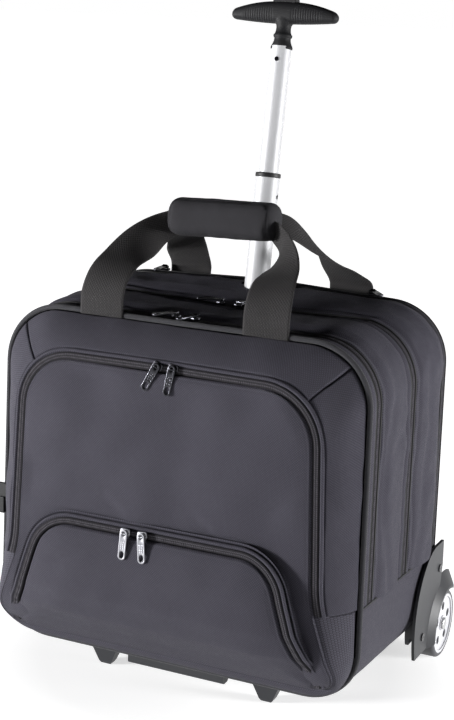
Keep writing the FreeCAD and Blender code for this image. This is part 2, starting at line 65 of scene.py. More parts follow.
PIPING_Y = 114.0              # the drawing frame's y = 0 is this far in front of the row frame's
SEAM_Z = 140.0                # top of the base fabric, where the zips end
REAR_Y = 222.0                # back face of the case
CASE_MIDDLE = (0, 110.0, 230.0)
WHEEL_Y, WHEEL_Z = 252.0, 40.0
EDGE = (0, .5, 1.1, 1.8, 2.6, 3.4, 4.2, 5.4, 7.5, 11)     # rows beside a sewn edge
ARC, RUN = 16, 12             # points on each corner and on each straight of an outline


# ---- points and meshes ----
def place(points):
    """Drawing-frame millimetres to row-frame metres."""
    return (np.asarray(points, float) - (0, PIPING_Y, 0)) * 0.001


def add(name, data):
    """New object in the scene."""
    made = bpy.data.objects.new(name, data)
    scene.collection.objects.link(made)
    return made


def mesh_object(name, points, quads, uv, material, close=False):
    """Smooth mesh from points, quads and one uv per point, which is in millimetres along the cloth."""
    co = place(points)
    mesh = bpy.data.meshes.new(name)
    mesh.vertices.add(len(co))
    mesh.vertices.foreach_set("co", co.ravel())
    mesh.loops.add(quads.size)
    mesh.loops.foreach_set("vertex_index", quads.ravel())
    mesh.polygons.add(len(quads))
    mesh.polygons.foreach_set("loop_start", np.arange(0, quads.size, 4))
    mesh.update(calc_edges=True)
    mesh.validate()
    layer = mesh.uv_layers.new(name="weave")
    layer.data.foreach_set("uv", (np.asarray(uv, float) * 0.001)[quads.ravel()].ravel())
    mesh.polygons.foreach_set("use_smooth", np.ones(len(mesh.polygons), bool))
    mesh.materials.append(material)
    made = add(name, mesh)
    if close:
        weld(made)
    return made


def weld(made):
    """Join the first and last rows of a closed grid."""
    work = bmesh.new()
    work.from_mesh(made.data)
    bmesh.ops.remove_doubles(work, verts=work.verts, dist=1e-5)
    work.to_mesh(made.data)
    work.free()


def grid_quads(rows, cols, flip=False):
    i = np.arange(rows * cols).reshape(rows, cols)
    corners = [i[:-1, :-1], i[:-1, 1:], i[1:, 1:], i[1:, :-1]]
    if flip:
        corners.reverse()
    return np.stack(corners, -1).reshape(-1, 4)


def lengths(line):
    """Distance along a polyline at each of its points."""
    steps = np.linalg.norm(np.diff(line, axis=0), axis=1)
    return np.concatenate([[0], np.cumsum(steps)])


def along(line, fractions):
    """Points at fractions of a polyline's length."""
    far = lengths(line)
    at = np.asarray(fractions) * far[-1]
    return np.stack([np.interp(at, far, line[:, k]) for k in range(line.shape[1])], -1)


def grid_object(name, grid, s, t, material, flip=False, close=False):
    """Mesh from a grid of points, with s and t millimetres along the cloth as its uv."""
    points, quads = grid.reshape(-1, 3), grid_quads(*grid.shape[:2], flip=flip)
    return mesh_object(name, points, quads, np.stack([s, t], -1).reshape(-1, 2), material, close)


def grid_normals(grid):
    across = np.cross(np.gradient(grid, axis=1), np.gradient(grid, axis=0))
    return across / np.maximum(np.linalg.norm(across, axis=-1, keepdims=True), 1e-9)


def stations(length, step, start=True, end=True):
    """Distances from 0 to length, crowded together at the sewn ends."""
    near = [e for e in EDGE if e < length / 2.2]
    first = near if start else [0]
    last = [length - e for e in reversed(near)] if end else [length]
    gap = last[0] - first[-1]
    count = max(int(round(gap / step)), 1)
    inner = [first[-1] + gap * i / count for i in range(1, count)]
    return np.array(first + inner + last)


def ripple(points, size, seed):
    """Smooth uneven undulation from -1 to 1, about size millimetres between its hills."""
    rng = np.random.default_rng(seed)
    total = np.zeros(points.shape[:-1])
    for _ in range(7):
        way = rng.normal(size=3)
        way *= rng.uniform(0.6, 1.5) / (np.linalg.norm(way) * size) * 2 * math.pi / 1.6
        total += np.sin(points @ way + rng.uniform(0, 7))
    return total / 4.0


def bell(distance, width):
    return np.exp(-(distance / width) ** 2)


# ---- outlines ----
def rounded(corners):
    """Closed (x, z) outline with tangent arcs at its (x, z, radius) corners, from the first arc on."""
    places = np.array([c[:2] for c in corners], float)
    out, arcs = [], []
    for i, (x, z, radius) in enumerate(corners):
        here = places[i]
        before = places[i - 1] - here
        after = places[(i + 1) % len(corners)] - here
        before /= np.linalg.norm(before)
        after /= np.linalg.norm(after)
        half = math.acos(np.clip(before @ after, -1, 1)) / 2
        run = radius / math.tan(half)
        middle = (before + after) / np.linalg.norm(before + after)
        centre = here + middle * radius / math.sin(half)
        start, end = here + before * run - centre, here + after * run - centre
        turn = math.atan2(start[0] * end[1] - start[1] * end[0], start @ end)
        angles = np.linspace(0, turn, ARC + 1)[:, None]
        sideways = np.array([-start[1], start[0]])
        arcs.append(centre + start * np.cos(angles) + sideways * np.sin(angles))
    for i, arc in enumerate(arcs):
        following = arcs[(i + 1) % len(arcs)][0]
        share = np.linspace(0, 1, RUN + 1)[1:-1, None]
        out += [arc, arc[-1] + (following - arc[-1]) * share]
    return np.vstack(out)


def mirrored(right, top=None):
    """Corners of a symmetric outline from its right-hand ones, with an optional low crown."""
    left = [(-x, z, r) for x, z, r in reversed(right)]
    return right + ([(0, top, 700.0)] if top else []) + left


def arc_middle(corner):
    """Index of the middle of a corner's arc in its outline."""
    return corner * (ARC + RUN) + ARC // 2


def outward(line):
    """Outward normals of a closed outline."""
    way = np.roll(line, -1, axis=0) - np.roll(line, 1, axis=0)
    way /= np.maximum(np.linalg.norm(way, axis=1, keepdims=True), 1e-9)
    return np.stack([way[:, 1], -way[:, 0]], -1)


def cut_line(line, z, upper=True):
    """Open part of a closed outline above or below a height, with its ends on that height."""
    inside = line[:, 1] >= z if upper else line[:, 1] < z
    start = int(np.flatnonzero(inside & ~np.roll(inside, 1))[0])
    line, inside = np.roll(line, -start, axis=0), np.roll(inside, -start)
    count = int(inside.sum())

    def on_height(p, q):
        return p + (q - p) * (z - p[1]) / (q[1] - p[1])
    first, last = on_height(line[-1], line[0]), on_height(line[count - 1], line[count])
    return np.vstack([first, line[:count], last])


def raise_line(line, y):
    """(x, z) points at a depth y: a number, or a function of z."""
    depth = y(line[:, 1]) if callable(y) else np.full(len(line), float(y))
    return np.stack([line[:, 0], depth, line[:, 1]], -1)


def case_outline(y, grow=0.0):
    """The case's section at a depth y. Its top sags between the front and back panels."""
    part = y / REAR_Y
    half, top = 212.5 + 8.5 * part, 411 + 7 * part
    crown = np.interp(y, (0, 100, REAR_Y), (-1, -10, 9))
    right = [(half + grow, 37 - grow, 57 + grow), (half - 5 + grow, top + grow, 65 + grow)]
    return rounded(mirrored(right, top + crown + grow))


def case_curve(y, grow=0.0, upper=True):
    """The case's section at a depth y, above or below the base seam, right to left or left to right."""
    return raise_line(cut_line(case_outline(y, grow), SEAM_Z, upper), y)


# ---- sewn panels ----
ROLL = 3.2                    # how deep a turned edge goes
SIDES = (0, 0, 1, 1)          # edges turned along both of a panel's lines, not at its ends


def sewn(s, t, length, width, rolls, puff, stitch):
    """Height of a sewn panel: turned edges, the dent of a stitch line and the swell of its padding."""
    reach = np.stack(np.broadcast_arrays(s, length - s, t, width - t))
    rolled = np.where(np.array(rolls, bool)[:, None, None], reach, 1e3).min(0)
    free = reach.min(0) if puff else rolled
    edge = -ROLL * np.clip(1 - rolled / 2.4, 0, 1) ** 2
    dent = -stitch * bell(rolled - 4.0, 0.7)
    return edge + dent + puff * (1 - np.exp(-free / 14.0))


def panel(name, a, b, material, body, step=4.0, rolls=(1, 1, 1, 1), puff=0.0, stitch=0.3, extra=None,
          slack=0.0, seed=1, keep=None, centre=0.0):
    """Cloth between two lines, with turned and stitched edges. extra(s, t, points) adds height, keep cuts
    away, and centre is the distance across at which the uv's v is 0."""
    length = (lengths(a)[-1] + lengths(b)[-1]) / 2
    width = np.linalg.norm(along(a, [0.5]) - along(b, [0.5]))
    ss = stations(length, step, rolls[0], rolls[1])
    tt = stations(width, min(step, 3.0), rolls[2], rolls[3])
    first, second = along(a, ss / length), along(b, ss / length)
    share = (tt / width)[None, :, None]
    grid = first[:, None] * (1 - share) + second[:, None] * share
    s, t = np.meshgrid(ss, tt, indexing="ij")
    normals = grid_normals(grid)
    flip = ((grid - CASE_MIDDLE) * normals).sum() < 0
    if flip:
        normals = -normals
    height = sewn(s, t, length, width, rolls, puff, stitch)
    if extra:
        height = height + extra(s, t, grid)
    if slack:
        height = height + slack * ripple(grid, 55, seed) + 0.35 * slack * ripple(grid, 21, seed + 9)
    grid = grid + normals * height[..., None]
    points, quads = grid.reshape(-1, 3), grid_quads(*grid.shape[:2], flip=flip)
    if keep:
        points, quads = keep(points, quads)
    uv = np.stack([s, t - centre], -1).reshape(-1, 2)
    made = mesh_object(name, points, quads, uv, material)
    if body:
        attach(made, body)
    return made


RIB_PITCH, RIB_LEAN = 2.3, 7.0       # a zip tape's ribs: their spacing along it, and across for one rib
RIB_STEP = 0.62                      # the mesh's rows along a zip tape


def ribs(width, height=0.32):
    """Height of a knitted zip tape's chevron ribs, with the line where its two halves meet."""
    def rise(s, t, grid):
        across = t - width / 2
        wavy = np.sin(2 * math.pi * (s / RIB_PITCH + np.abs(across) / RIB_LEAN))
        rib = height * wavy * np.clip(1.2 - np.abs(across) / (width / 2), 0, 1)
        return 0.9 * (1 - (across / (width / 2)) ** 2) + rib - 0.55 * bell(across, 0.45)
    return rise


def flat_panel(name, outline, depth, material, body, seed, puff, slack, fall=30.0, facing=-1, extra=None):
    """Cloth filling an (x, z) outline at depth(z), swelling towards facing."""
    right = outline[outline[:, 0] >= 0]
    order = np.argsort(right[:, 1])
    heights, halves = right[order, 1], right[order, 0]
    bottom, top = heights[0], heights[-1]
    rows = stations(top - bottom, 5.0) + bottom
    arcs = heights[heights > top - 60]
    rows = np.unique(np.round(np.concatenate([rows, arcs[::2], heights[heights < bottom + 20][::2]]), 2))
    rows = rows[np.concatenate([[True], np.diff(rows) > 0.25])]
    half = np.array([halves[np.abs(heights - z) < 1e-2].max() if (np.abs(heights - z) < 1e-2).any()
                     else np.interp(z, heights, halves) for z in rows])
    widest = half.max()
    cols = stations(2 * widest, 5.0) / widest - 1
    x = half[:, None] * cols[None]
    z = np.repeat(rows[:, None], len(cols), 1)
    points = np.stack([x, z], -1)
    distance = edge_distance(points.reshape(-1, 2), outline).reshape(x.shape)
    rise = puff * (1 - np.exp(-distance / fall)) - 2.6 * np.clip(1 - distance / 2.4, 0, 1) ** 2
    rise -= 0.35 * bell(distance - 4.0, 0.7)
    spots = np.stack([x, np.zeros_like(x), z], -1)
    rise += slack * np.clip(distance / 12, 0, 1) * (ripple(spots, 75, seed)
                                                    + 0.4 * ripple(spots, 30, seed + 4))
    if extra:
        rise += extra(x, z, distance)
    y = (depth(z) if callable(depth) else depth) + facing * rise
    grid = np.stack([x, y, z], -1)
    made = grid_object(name, grid, x, z, material, flip=facing > 0)
    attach(made, body)
    return made


def edge_distance(points, outline):
    """Shortest distance from each point to a closed outline."""
    best = np.full(len(points), 1e9)
    for p, q in zip(outline, np.roll(outline, -1, axis=0)):
        way = q - p
        share = np.clip(((points - p) @ way) / max(way @ way, 1e-9), 0, 1)
        gap = points - (p + share[:, None] * way)
        best = np.minimum(best, (gap ** 2).sum(1))
    return np.sqrt(best)


# ---- materials ----
def node(tree, kind, values=None, **settings):
    made = tree.nodes.new("ShaderNode" + kind)
    for key, value in settings.items():
        setattr(made, key, value)
    for key, value in (values or {}).items():
        if isinstance(value, bpy.types.NodeSocket):
            tree.links.new(value, made.inputs[key])
        else:
            made.inputs[key].default_value = value
    return made


def calc(operation, *values):
    """Math node on values, of which at least one is another node's output."""
    tree = next(v.id_data for v in values if isinstance(v, bpy.types.NodeSocket))
    return node(tree, "Math", dict(enumerate(values)), operation=operation).outputs[0]


def plus(a, b):
    return calc("ADD", a, b)


def times(a, b):
    return calc("MULTIPLY", a, b)


def wave(value, factor=math.pi):
    return calc("SINE", times(value, factor))


def crests(value, factor=math.pi):
    return calc("ABSOLUTE", wave(value, factor))


def ramp(value, start, end, low, high):
    """A value's way from start to end turned into one from low to high, clamped."""
    return node(value.id_data, "MapRange", {0: value, 1: start, 2: end, 3: low, 4: high}).outputs[0]


def scaled(base, amount):
    return node(amount.id_data, "VectorMath", {0: base, "Scale": amount}, operation="SCALE").outputs[0]


def shade(base, amount, *factors):
    """A colour darkened and lightened by factors that run from about 0 to 1."""
    total = 1.0 - amount * len(factors) / 2
    for factor in factors:
        total = plus(total, times(factor, amount))
    return scaled(base, total)


def noise(tree, scale, detail=3.0, stretch=None):
    vector = node(tree, "TexCoord").outputs["Object"]
    if stretch:
        vector = node(tree, "VectorMath", {0: vector, 1: stretch}, operation="MULTIPLY").outputs[0]
    return node(tree, "TexNoise", {"Vector": vector, "Scale": scale, "Detail": detail}).outputs["Fac"]


def weave_uv(tree):
    """The cloth's own u and v, in metres along it."""
    return node(tree, "SeparateXYZ", {0: node(tree, "UVMap", uv_map="weave").outputs[0]}).outputs[:2]


def start_material(name, roughness, metallic=0.0, **sockets):
    material = bpy.data.materials.new(name)
    material.use_nodes = True
    shader = material.node_tree.nodes["Principled BSDF"]
    shader.inputs["Roughness"].default_value = roughness
    shader.inputs["Metallic"].default_value = metallic
    for key, value in sockets.items():
        shader.inputs[key.replace("_", " ")].default_value = value
    return material, material.node_tree, shader


def finish_surface(shader, colour, roughness, height, depth, strength=0.6):
    tree = shader.id_data
    bump = node(tree, "Bump", {"Height": height, "Distance": depth, "Strength": strength}).outputs[0]
    for key, value in (("Base Color", colour), ("Roughness", roughness), ("Normal", bump)):
        tree.links.new(value, shader.inputs[key])


DUST = (0.08, 0.077, 0.092, 1)       # what worn cloth fades towards


def woven(name, base, cell, sheen=0.02, thread_shade=0.30, depth=0.0003):
    """Basket weave in the cloth's own uv: pairs of threads cross over and under each other. Its colour is painted
    darker in the hollows between threads and lighter on their crowns (painted shade), and the cells where one
    direction lies on top are painted lighter (painted sheen).
    """
    material, tree, shader = start_material(name, 0.72, Sheen_Weight=sheen, Sheen_Roughness=0.45,
                                            Specular_IOR_Level=0.14)
    u, v = [calc("DIVIDE", way, cell) for way in weave_uv(tree)]
    over = calc("FLOORED_MODULO", plus(calc("FLOOR", u), calc("FLOOR", v)), 2.0)
    u, v = calc("FRACT", u), calc("FRACT", v)
    warp = times(plus(times(crests(u, 2 * math.pi), 0.5), 0.5), wave(v))
    weft = times(plus(times(crests(v, 2 * math.pi), 0.5), 0.5), wave(u))
    mixed = node(tree, "Mix", {0: over, 2: warp, 3: weft}).outputs[0]
    broad, fine = noise(tree, 9.0), noise(tree, 160.0, 2.0)
    # painted shade and sheen: the colour follows the threads' height and which thread lies on top
    colour = shade(base, thread_shade, mixed, times(over, 0.6))
    colour = node(tree, "Mix", {0: times(broad, 0.12), 6: colour, 7: DUST}, data_type="RGBA").outputs[2]
    finish_surface(shader, colour, plus(0.72 - 0.1, times(fine, 0.2)), plus(mixed, times(fine, 0.4)), depth)
    return material


def ribbed(name, base, pitch, cross, roughness, sheen, depth):
    """Webbing: cross ribs broken up by the warp threads that run along it, with the grooves between the ribs
    painted dark (painted shade).
    """
    material, tree, shader = start_material(name, roughness, Sheen_Weight=sheen, Sheen_Roughness=0.4,
                                            Specular_IOR_Level=0.14)
    u, v = weave_uv(tree)
    u, v = calc("DIVIDE", u, pitch), calc("DIVIDE", v, cross)
    odd = times(calc("FLOORED_MODULO", calc("FLOOR", v), 2.0), 0.5)
    height = plus(times(crests(plus(u, odd)), 0.7), times(crests(v), 0.3))
    broad, fine = noise(tree, 14.0), noise(tree, 260.0, 2.0)
    rough = plus(roughness - 0.1, times(fine, 0.2))
    # painted shade: the colour drops to black in the grooves between the ribs and is lightest on their crowns,
    # plus a broad random tone
    finish_surface(shader, shade(base, 1.0, height, broad), rough, height, depth)
    return material


def zip_weave(name, base, edge=0.0029):
    """Knitted zip tape: teeth either side of v = 0 carrying a painted highlight, and tape painted darker between
    its ribs and nearly black towards its seams (painted shade).
    """
    material, tree, shader = start_material(name, 0.8, Sheen_Weight=0.0, Specular_IOR_Level=0.08)
    u, v = weave_uv(tree)
    v = calc("ABSOLUTE", v)
    tooth = crests(plus(calc("DIVIDE", u, 0.0019), calc("DIVIDE", v, 0.0042)))
    coil, slit = ramp(v, 0.0019, 0.0013, 0.0, 1.0), ramp(v, 0.00035, 0.0006, 0.1, 1.0)
    teeth = times(times(coil, tooth), slit)
    fine = noise(tree, 260.0, 2.0)
    cloth = times(plus(tooth, fine), 0.5)
    # painted shade: darker between the ribs, and nearly black from edge outward, where the tape dips into the
    # shadowed seam grooves
    tone_with_seam_shade = times(plus(times(cloth, 0.9), 0.5), ramp(v, edge, edge + 0.0019, 1.0, 0.08))
    # painted highlight: the teeth are brightened 2.6 times, fading out in the slit between the two halves
    colour = scaled(base, plus(tone_with_seam_shade, times(teeth, 2.6)))
    finish_surface(shader, colour, plus(0.7, times(fine, 0.2)), plus(cloth, teeth), 0.0004)
    return material


def moulded(name, base, roughness, grain=700.0, depth=0.00008, amount=0.16, **sockets):
    """Moulded plastic or rubber with a fine spark-eroded grain."""
    material, tree, shader = start_material(name, roughness, **sockets)
    broad, fine = noise(tree, 11.0), noise(tree, grain, 2.0)
    rough = plus(roughness - 0.08, times(broad, 0.16))
    finish_surface(shader, shade(base, amount, broad, fine), rough, fine, depth)
    return material


def metal(name, base, roughness, stretch=(1, 1, 1), scale=120.0, amount=0.12, metallic=1.0):
    """Metal with fine drawn or tumbled marks."""
    material, tree, shader = start_material(name, roughness, metallic)
    marks, broad = noise(tree, scale, 3.0, stretch), noise(tree, 18.0)
    rough = plus(roughness - 0.06, times(marks, 0.14))
    finish_surface(shader, shade(base, amount, marks, broad), rough, marks, 0.00003, 0.4)
    return material


FABRIC = woven("body_fabric", (0.0345, 0.0325, 0.0445), 0.0013, thread_shade=0.85, depth=0.0007)
BASE = woven("base_fabric", (0.038, 0.036, 0.048), 0.0013, thread_shade=0.85, depth=0.0007)
LINING = woven("lining", (0.025, 0.025, 0.028), 0.0005, sheen=0.15, thread_shade=0.2)
ZIP = zip_weave("zip_fabric", (0.017, 0.016, 0.0185))
WEBBING = ribbed("webbing", (0.017, 0.016, 0.0165), 0.0034, 0.0016, 0.75, 0.02, 0.0012)
PIPING = woven("piping", (0.022, 0.022, 0.025), 0.0006, sheen=0.1, thread_shade=0.2)
# near-black cord laid along seams: a painted shadow where the cloth dips into the seam grooves
SEAM_SHADOW = moulded("seam_shadow_cord", (0.004, 0.004, 0.0045), 0.7)
BLACK = moulded("black_plastic", (0.009, 0.009, 0.010), 0.5, Specular_IOR_Level=0.22)
GREY = moulded("grey_plastic", (0.013, 0.0135, 0.016), 0.45, Specular_IOR_Level=0.35)
SOFT = moulded("soft_grip", (0.007, 0.007, 0.008), 0.6, grain=900.0, Specular_IOR_Level=0.15)
TYRE = moulded("tyre_rubber", (0.036, 0.036, 0.040), 0.55, grain=500.0)
HUB = moulded("hub_metal", (0.41, 0.41, 0.43), 0.25, depth=0.00002, amount=0.06)
TUBE = metal("tube_metal", (0.36, 0.362, 0.375), 0.5, (40, 40, 1), 30.0, 0.08, metallic=0.12)
NICKEL = metal("pull_metal", (0.035, 0.035, 0.040), 0.20, scale=300.0)
BRIGHT = metal("bright_metal", (0.25, 0.25, 0.27), 0.34, scale=300.0)
STEEL = metal("spring_steel", (0.5, 0.5, 0.5), 0.3)
WRAP = woven("grip_fabric", (0.014, 0.0135, 0.0155), 0.00095, sheen=0.02, thread_shade=0.5, depth=0.0005)


# ---- soft case ----
POLE_TOP = np.array([0.0, 184.0, 420.0])      # where the pole leaves the top
ZIP1, ZIP2, REAR_ZIP = (15.2, 28.8), (111.6, 126.4), (207.8, 218.2)     # depths of the tapes' edges
ZIP_SEAM_SHADOWS = (14.6, 28.4, 112.2, 125.8, 208.0, 217.6)                    # depths of the near-black cords beside them: painted seam shadows
ACROSS, UPWARD = (0.0, 1.0, 0.0), (0.0, 0.0, 1.0)


def pole_recess(grid):
    """The rear panel dips round the pole's collar."""
    near = np.hypot(grid[..., 0] - POLE_TOP[0], grid[..., 1] - POLE_TOP[1])
    return np.where(grid[..., 2] > 300, -2.0 * bell(near, 27.0), 0)


def pole_opening(points, quads, radius=17.5):
    """Cuts a clean round opening for the pole in the top of the rear panel."""
    flat = points[:, :2] - POLE_TOP[:2]
    near = np.hypot(flat[:, 0], flat[:, 1])
    top = points[:, 2] > 300
    rim = top & (np.abs(near - radius) < 2.6)
    points = points.copy()
    points[rim, :2] = POLE_TOP[:2] + flat[rim] / near[rim, None] * radius
    inner = top & (near < radius + 0.1)
    return points, quads[~inner[quads].all(1)]


def mid_height(s, t, grid):
    y, z = grid[..., 1], grid[..., 2]
    on_side = np.clip((400 - z) / 60, 0, 1)
    swell = 5.0 * np.clip(np.minimum(y - 37, 104 - y) / 14, 0, 1) ** 0.6
    fold = 1.6 * bell(y - 31.5, 3.5) - 3.4 * bell(y - 37.0, 1.5)
    flap = 2.2 * bell(y - 109.5, 4) - 3.4 * bell(y - 102.5, 1.6)
    crease = -2.6 * bell(y - 58 - 14 * np.sin(z / 55.0), 8) * on_side
    crease -= 2.2 * bell(z - 292 - 0.5 * (y - 60), 10) * bell(y - 84, 22) * on_side
    return swell + fold + flap + crease


def rear_height(s, t, grid):
    y, z = grid[..., 1], grid[..., 2]
    swell = 5.6 * np.clip(np.minimum(y - 135, 204 - y) / 18, 0, 1) ** 0.6
    fold = 1.4 * bell(y - 130, 4) - 3.2 * bell(y - 136.0, 1.7)
    crease = -2.6 * bell(y - 154 + 10 * np.sin(z / 60.0), 9) * np.clip((400 - z) / 60, 0, 1)
    return swell + fold + crease + pole_recess(grid)


def zip_tape(name, edges):
    """Ribbed zip tape over the top and down both sides, between two depths."""
    width = round(edges[1] - edges[0], 3)
    made = panel(name, case_curve(edges[0]), case_curve(edges[1]), ZIP, "case", step=RIB_STEP,
                 rolls=SIDES, stitch=0, extra=ribs(width=width), centre=width / 2)
    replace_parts(made, name + "_tape")


def rope(name, centres, flat, radius, material, sides=8, turned=1):
    """Round cord on the case, along a line that never runs along the flat direction. turned is 1 or -1,
    whichever faces its skin outward."""
    out = turned * np.cross(np.gradient(centres, axis=0), flat)
    out /= np.linalg.norm(out, axis=1, keepdims=True)
    turn = np.linspace(0, 2 * math.pi, sides + 1)
    ring = out[:, None] * np.cos(turn)[None, :, None] + np.array(flat) * np.sin(turn)[None, :, None]
    s, t = np.meshgrid(lengths(centres), radius * turn, indexing="ij")
    made = grid_object(name, centres[:, None] + radius * ring, s, t, material, close=True)
    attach(made, "case")
    return made


def build_case():
    outline = raise_line(case_outline(0, 0.2), 0.0)
    ring = along(np.vstack([outline, outline[:1]]), np.linspace(0, 1, 420))
    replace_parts(rope("piping", ring, ACROSS, 2.9, PIPING, 12, -1), "front_piping")
    panel("front_fold", case_curve(2.2, -0.6), case_curve(16.4, 0.7), FABRIC, "case", rolls=(0, 0, 0, 1),
          extra=lambda s, t, g: 0.9 * bell(t - 9, 4))
    zip_tape("zip1", ZIP1)
    made = panel("mid_panel", case_curve(27.6, 0.6), case_curve(113.0, 0.6), FABRIC, "case",
                 rolls=SIDES, extra=mid_height, slack=1.5, seed=5)
    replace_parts(made, "compartment_shell")
    zip_tape("zip2", ZIP2)
    made = panel("rear_panel", case_curve(125.0, 0.6), case_curve(208.6, 0.6), FABRIC, "case",
                 rolls=SIDES, extra=rear_height, slack=1.7, seed=8, keep=pole_opening)
    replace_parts(made, "rear_shell")
    zip_tape("rear_zip", REAR_ZIP)
    # near-black cords beside each zip tape: painted shadows in the seam grooves
    for y in ZIP_SEAM_SHADOWS:
        rope("seam", along(case_curve(y, 0.5), np.linspace(0, 1, 260)), ACROSS, 0.9, SEAM_SHADOW)
    # near-black cords along the base seam on both sides: painted seam shadows
    for end in (0, -1):
        foot = [case_curve(y, 1.3)[end] + (0, 0, 0.6) for y in np.linspace(2, REAR_Y, 45)]
        rope("seam", np.array(foot), UPWARD, 0.8, SEAM_SHADOW)
    panel("back_fold", case_curve(217.0, 0.7), case_curve(223.4, -2.4), FABRIC, "case", rolls=(0, 0, 1, 0),
          stitch=0)


def wheel_opening(points, quads):
    """Leaves room for the wheel housings at the lower rear corners."""
    y, z = points[:, 1] - WHEEL_Y, points[:, 2] - WHEEL_Z
    inner = (np.hypot(y, z) < 46.5) & (np.abs(points[:, 0]) > 186)
    return points, quads[~inner[quads].any(1)]


def base_sag(s, t, grid):
    """The underside hangs lower towards the wheels."""
    x, y, z = np.moveaxis(grid, -1, 0)
    return (7.0 * np.clip((y - 60) / 150, 0, 1) * np.clip((72 - z) / 30, 0, 1)
            * np.clip((203 - np.abs(x)) / 12, 0, 1))


def build_base():
    wrap = panel("base_wrap_cloth", case_curve(2.4, 0.9, False), case_curve(223.0, 0.9, False), BASE,
                 "case", rolls=(1, 1, 0, 0), puff=1.2, slack=0.5, seed=12, keep=wheel_opening, extra=base_sag)
    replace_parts(wrap, "base_wrap")
    outline = case_outline(REAR_Y, -1.8)
    upper, lower = cut_line(outline, SEAM_Z), cut_line(outline, SEAM_Z, False)
    flat_panel("back_upper", upper, 222.6, FABRIC, "case", 21, 3.0, 0.6, facing=1)
    build_low_back(lower)


def build_low_back(outline):
    """Lower back panel, cut away round the wheel housings."""
    rows = stations(SEAM_Z - 39, 5.0) + 38.9
    right = outline[outline[:, 0] >= 0]
    order = np.argsort(right[:, 1])
    half = np.interp(rows, right[order, 1], right[order, 0])
    cols = np.linspace(-1, 1, 90)
    x = half[:, None] * cols[None]
    z = np.repeat(rows[:, None], len(cols), 1)
    spots = np.stack([x, z * 0, z], -1)
    depth = 223.4 + 0.6 * ripple(spots, 60, 31) - 1.9 * np.clip(1 - (SEAM_Z - z) / 2.4, 0, 1) ** 2
    grid = np.stack([x, depth, z], -1)
    points, quads = wheel_opening(grid.reshape(-1, 3), grid_quads(*x.shape, flip=True))
    made = mesh_object("back_lower", points, quads, np.stack([x, z], -1).reshape(-1, 2), BASE)
    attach(made, "case")


# ---- front pocket ----
MOUTH = -36.0                 # plane of the big pocket's mouth
WALL_BACK, WALL_FRONT = -1.6, MOUTH + 0.4      # depths of the pocket wall's two edges
INNER = mirrored([(205, 52, 22), (171, 150, 150), (161, 364, 55)], 365.5)
BACK = mirrored([(209.9, 39.5, 54.5), (208.6, 150, 120), (205.2, 408.8, 62.8)], 407.8)


def offset(line, grow):
    return line + outward(line) * grow


def bevel(amount):
    """Soft outward swell across a gusset panel."""
    def rise(s, t, grid):
        share = t / t.max()
        return amount * np.sin(math.pi * share) ** 0.8
    return rise


def build_gusset():
    back, front = rounded(BACK), offset(rounded(INNER), 12.8)
    top = slice(arc_middle(2), arc_middle(4) + 1)
    made = panel("gusset_top", raise_line(back[top], WALL_BACK), raise_line(front[top], WALL_FRONT), FABRIC,
                 "case", stitch=0.0, extra=bevel(3.0), slack=1.0, seed=41)
    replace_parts(made, "pocket_gusset")
    for side, name in ((1, "r"), (-1, "l")):
        lines = []
        for line, y in ((back, WALL_BACK), (front, WALL_FRONT)):
            part = cut_line(line, SEAM_Z)
            corner = line[arc_middle(2)]
            stop = int(np.argmin(np.hypot(*(part - corner).T)))
            part = np.vstack([part[:stop], corner])
            lines.append(raise_line(part * (side, 1), y))
        panel("gusset_" + name, *lines, FABRIC, "case", stitch=0.0, extra=bevel(3.0), slack=1.3,
              seed=43 + side)
    hem_line = offset(rounded(INNER), 0.9)
    lines = [raise_line(cut_line(back, SEAM_Z, False), WALL_BACK),
             raise_line(cut_line(hem_line, SEAM_Z, False), lambda z: hem(z) - 3.2)]
    gore = panel("gore", *lines, BASE, None, stitch=0.0, extra=bevel(5.0), slack=0.3, seed=47)
    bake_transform(gore)
    inside = offset(rounded(BACK), -3.0)
    lining = flat_panel("pocket_back", inside, -1.4, LINING, "case", 51, 0.8, 0.5)
    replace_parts(lining, "front_panel")


def half_ribs(side, width):
    """Half of a zip: teeth on the edge where the two halves meet."""
    def rise(s, t, grid):
        across = t if side > 0 else width - t
        wavy = np.sin(2 * math.pi * (s / RIB_PITCH + across / RIB_LEAN))
        return 1.0 - 0.9 * (across / width) ** 2 + 0.34 * wavy * np.clip(1.25 - across / width, 0, 1)
    return rise


def build_big_zip():
    inner = rounded(INNER)

    def line(grow, y):
        return raise_line(cut_line(offset(inner, grow), SEAM_Z), y)
    made = panel("big_zip_case", line(4.75, MOUTH - 1.4), line(9.4, MOUTH - 1.2), ZIP, "case",
                 step=RIB_STEP, rolls=(0, 0, 0, 1), stitch=0, extra=half_ribs(1, 4.65), centre=0.4)
    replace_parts(made, "big_zip_tape")
    panel("big_zip_fold", line(8.4, MOUTH - 1.8), line(13.6, MOUTH + 0.2), FABRIC, "case", rolls=SIDES,
          stitch=0, extra=lambda s, t, g: 1.4 * np.sin(math.pi * np.clip(t / t.max(), 0, 1)))
    panel("big_zip_cover", line(0.4, MOUTH - 1.6), line(4.65, MOUTH - 1.4), ZIP, "cover", step=RIB_STEP,
          rolls=(0, 0, 0, 0), stitch=0, extra=half_ribs(-1, 4.25), centre=3.9)


def hem(z):
    """Depth of the pocket's mouth at a height: it comes back to the piping at the floor."""
    return MOUTH + 26.0 * np.clip((96 - np.asarray(z)) / 46, 0, 1) ** 1.6


COVER_FOLDS = (               # from (x, z) to (x, z), depth and half width
    (160, 266, 122, 238, 1.1, 6), (-66, 228, -34, 206, 1.2, 6), (36, 224, 68, 204, 1.3, 6),
    (-166, 244, -112, 252, 0.9, 8), (-150, 204, -60, 224, 1.1, 9), (164, 150, 132, 196, 1.0, 8))
LOW_FOLDS = ((-118, 150, -76, 166, 1.0, 7), (-140, 92, -76, 82, 1.2, 9), (150, 92, 84, 74, 1.2, 9))


